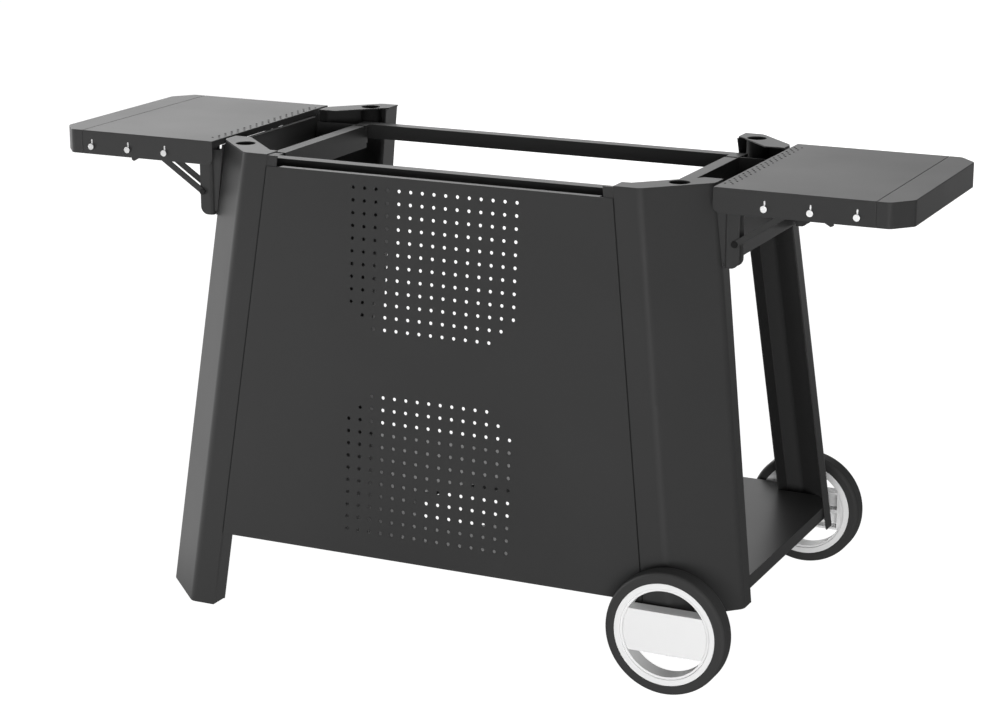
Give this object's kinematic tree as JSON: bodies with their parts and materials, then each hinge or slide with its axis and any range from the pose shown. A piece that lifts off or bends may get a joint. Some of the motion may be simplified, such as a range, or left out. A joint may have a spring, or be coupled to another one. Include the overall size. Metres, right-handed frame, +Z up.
{
  "type": "outdoor pizza oven table",
  "caption": "Steel trolley table for a pizza oven: open frame on splayed legs, perforated front panel, fold-down side shelves with tool hooks, lower shelf and wheels at one end.",
  "frame": {"origin": "on the floor under the middle of the table", "axes": "+X along the length towards the wheels, +Y to the rear, away from the front panel, +Z up"},
  "size_m": [1.46, 0.686, 0.751],
  "materials": {
    "powder_coated_steel": "satin anthracite powder coat on sheet steel",
    "silver_plastic": "silver moulded plastic, slightly glossy",
    "tyre_rubber": "matt black solid rubber",
    "zinc_plated_steel": "bright zinc plate",
    "blackened_steel": "black passivated steel pins",
    "plug_plastic": "matt black moulded plastic"
  },
  "bodies": {
    "table_frame": {"apron_bolts": "zinc_plated_steel", "apron_left": "powder_coated_steel", "apron_right": "powder_coated_steel", "axle": "zinc_plated_steel", "axle_hanger_front": "powder_coated_steel", "axle_hanger_rear": "powder_coated_steel", "axle_sleeves": "zinc_plated_steel", "axle_washers": "zinc_plated_steel", "bracket_channel_front_left": "powder_coated_steel", "bracket_channel_front_right": "powder_coated_steel", "bracket_channel_rear_left": "powder_coated_steel", "bracket_channel_rear_right": "powder_coated_steel", "frame_ear_front_left": "powder_coated_steel", "frame_ear_front_right": "powder_coated_steel", "frame_ear_rear_left": "powder_coated_steel", "frame_ear_rear_right": "powder_coated_steel", "frame_plugs": "plug_plastic", "frame_rail_front": "powder_coated_steel", "frame_rail_left": "powder_coated_steel", "frame_rail_rear": "powder_coated_steel", "frame_rail_right": "powder_coated_steel", "front_panel": "powder_coated_steel", "hinge_pins": "blackened_steel", "leg_cap_front_left": "powder_coated_steel", "leg_cap_front_right": "powder_coated_steel", "leg_cap_rear_left": "powder_coated_steel", "leg_cap_rear_right": "powder_coated_steel", "leg_front_left": "powder_coated_steel", "leg_front_right": "powder_coated_steel", "leg_rear_left": "powder_coated_steel", "leg_rear_right": "powder_coated_steel", "lower_shelf": "powder_coated_steel", "panel_nuts": "zinc_plated_steel", "strut_pins": "blackened_steel"},
    "side_shelf_right": {"shelf_right": "powder_coated_steel", "shelf_end_right": "powder_coated_steel", "bracket_arm_front_right": "powder_coated_steel", "bracket_arm_rear_right": "powder_coated_steel", "lever_pins_right": "blackened_steel", "tool_hooks_right": "silver_plastic"},
    "side_shelf_left": {"shelf_left": "powder_coated_steel", "shelf_end_left": "powder_coated_steel", "bracket_arm_front_left": "powder_coated_steel", "bracket_arm_rear_left": "powder_coated_steel", "lever_pins_left": "blackened_steel", "tool_hooks_left": "silver_plastic"},
    "strut_front_right": {"bracket_strut_front_right": "powder_coated_steel"},
    "lever_front_right": {"release_lever_front_right": "powder_coated_steel"},
    "strut_rear_right": {"bracket_strut_rear_right": "powder_coated_steel"},
    "lever_rear_right": {"release_lever_rear_right": "powder_coated_steel"},
    "strut_front_left": {"bracket_strut_front_left": "powder_coated_steel"},
    "lever_front_left": {"release_lever_front_left": "powder_coated_steel"},
    "strut_rear_left": {"bracket_strut_rear_left": "powder_coated_steel"},
    "lever_rear_left": {"release_lever_rear_left": "powder_coated_steel"},
    "wheel_front": {"wheel_rim_front": "silver_plastic", "wheel_tyre_front": "tyre_rubber"},
    "wheel_rear": {"wheel_rim_rear": "silver_plastic", "wheel_tyre_rear": "tyre_rubber"}
  },
  "joints": [
    {"name": "fold_shelf_right", "type": "hinge", "parent": "table_frame", "child": "side_shelf_right", "pos_m": [0.456, 0, 0.725], "axis": [0, 1, 0], "range_deg": [0, 82]},
    {"name": "fold_shelf_left", "type": "hinge", "parent": "table_frame", "child": "side_shelf_left", "pos_m": [-0.456, 0, 0.725], "axis": [0, -1, 0], "range_deg": [0, 82]},
    {"name": "swing_strut_front_right", "type": "hinge", "parent": "table_frame", "child": "strut_front_right", "pos_m": [0.461, -0.163, 0.663], "axis": [0, 1, 0], "range_deg": [0, 114.3]},
    {"name": "release_lever_front_right", "type": "hinge", "parent": "side_shelf_right", "child": "lever_front_right", "pos_m": [0.5889, -0.1835, 0.723], "axis": [0, -1, 0], "range_deg": [0, 20], "stiffness_Nm_per_rad": 0.2, "springref_deg": -5.73},
    {"name": "swing_strut_rear_right", "type": "hinge", "parent": "table_frame", "child": "strut_rear_right", "pos_m": [0.461, 0.163, 0.663], "axis": [0, 1, 0], "range_deg": [0, 114.3]},
    {"name": "release_lever_rear_right", "type": "hinge", "parent": "side_shelf_right", "child": "lever_rear_right", "pos_m": [0.5651, 0.1835, 0.723], "axis": [0, -1, 0], "range_deg": [0, 20], "stiffness_Nm_per_rad": 0.2, "springref_deg": -5.73},
    {"name": "swing_strut_front_left", "type": "hinge", "parent": "table_frame", "child": "strut_front_left", "pos_m": [-0.461, -0.163, 0.663], "axis": [0, -1, 0], "range_deg": [0, 114.3]},
    {"name": "release_lever_front_left", "type": "hinge", "parent": "side_shelf_left", "child": "lever_front_left", "pos_m": [-0.5651, -0.1835, 0.723], "axis": [0, 1, 0], "range_deg": [0, 20], "stiffness_Nm_per_rad": 0.2, "springref_deg": -5.73},
    {"name": "swing_strut_rear_left", "type": "hinge", "parent": "table_frame", "child": "strut_rear_left", "pos_m": [-0.461, 0.163, 0.663], "axis": [0, -1, 0], "range_deg": [0, 114.3]},
    {"name": "release_lever_rear_left", "type": "hinge", "parent": "side_shelf_left", "child": "lever_rear_left", "pos_m": [-0.5889, 0.1835, 0.723], "axis": [0, 1, 0], "range_deg": [0, 20], "stiffness_Nm_per_rad": 0.2, "springref_deg": -5.73},
    {"name": "spin_wheel_front", "type": "hinge", "parent": "table_frame", "child": "wheel_front", "pos_m": [0.424, -0.326, 0.0965], "axis": [0, 1, 0], "continuous": true},
    {"name": "spin_wheel_rear", "type": "hinge", "parent": "table_frame", "child": "wheel_rear", "pos_m": [0.424, 0.326, 0.0965], "axis": [0, 1, 0], "continuous": true}
  ],
  "couplings": [
    {"joint": "swing_strut_front_right", "follows": "fold_shelf_right", "ratio": 1.392},
    {"joint": "swing_strut_rear_right", "follows": "fold_shelf_right", "ratio": 1.392},
    {"joint": "swing_strut_front_left", "follows": "fold_shelf_left", "ratio": 1.392},
    {"joint": "swing_strut_rear_left", "follows": "fold_shelf_left", "ratio": 1.392}
  ]
}
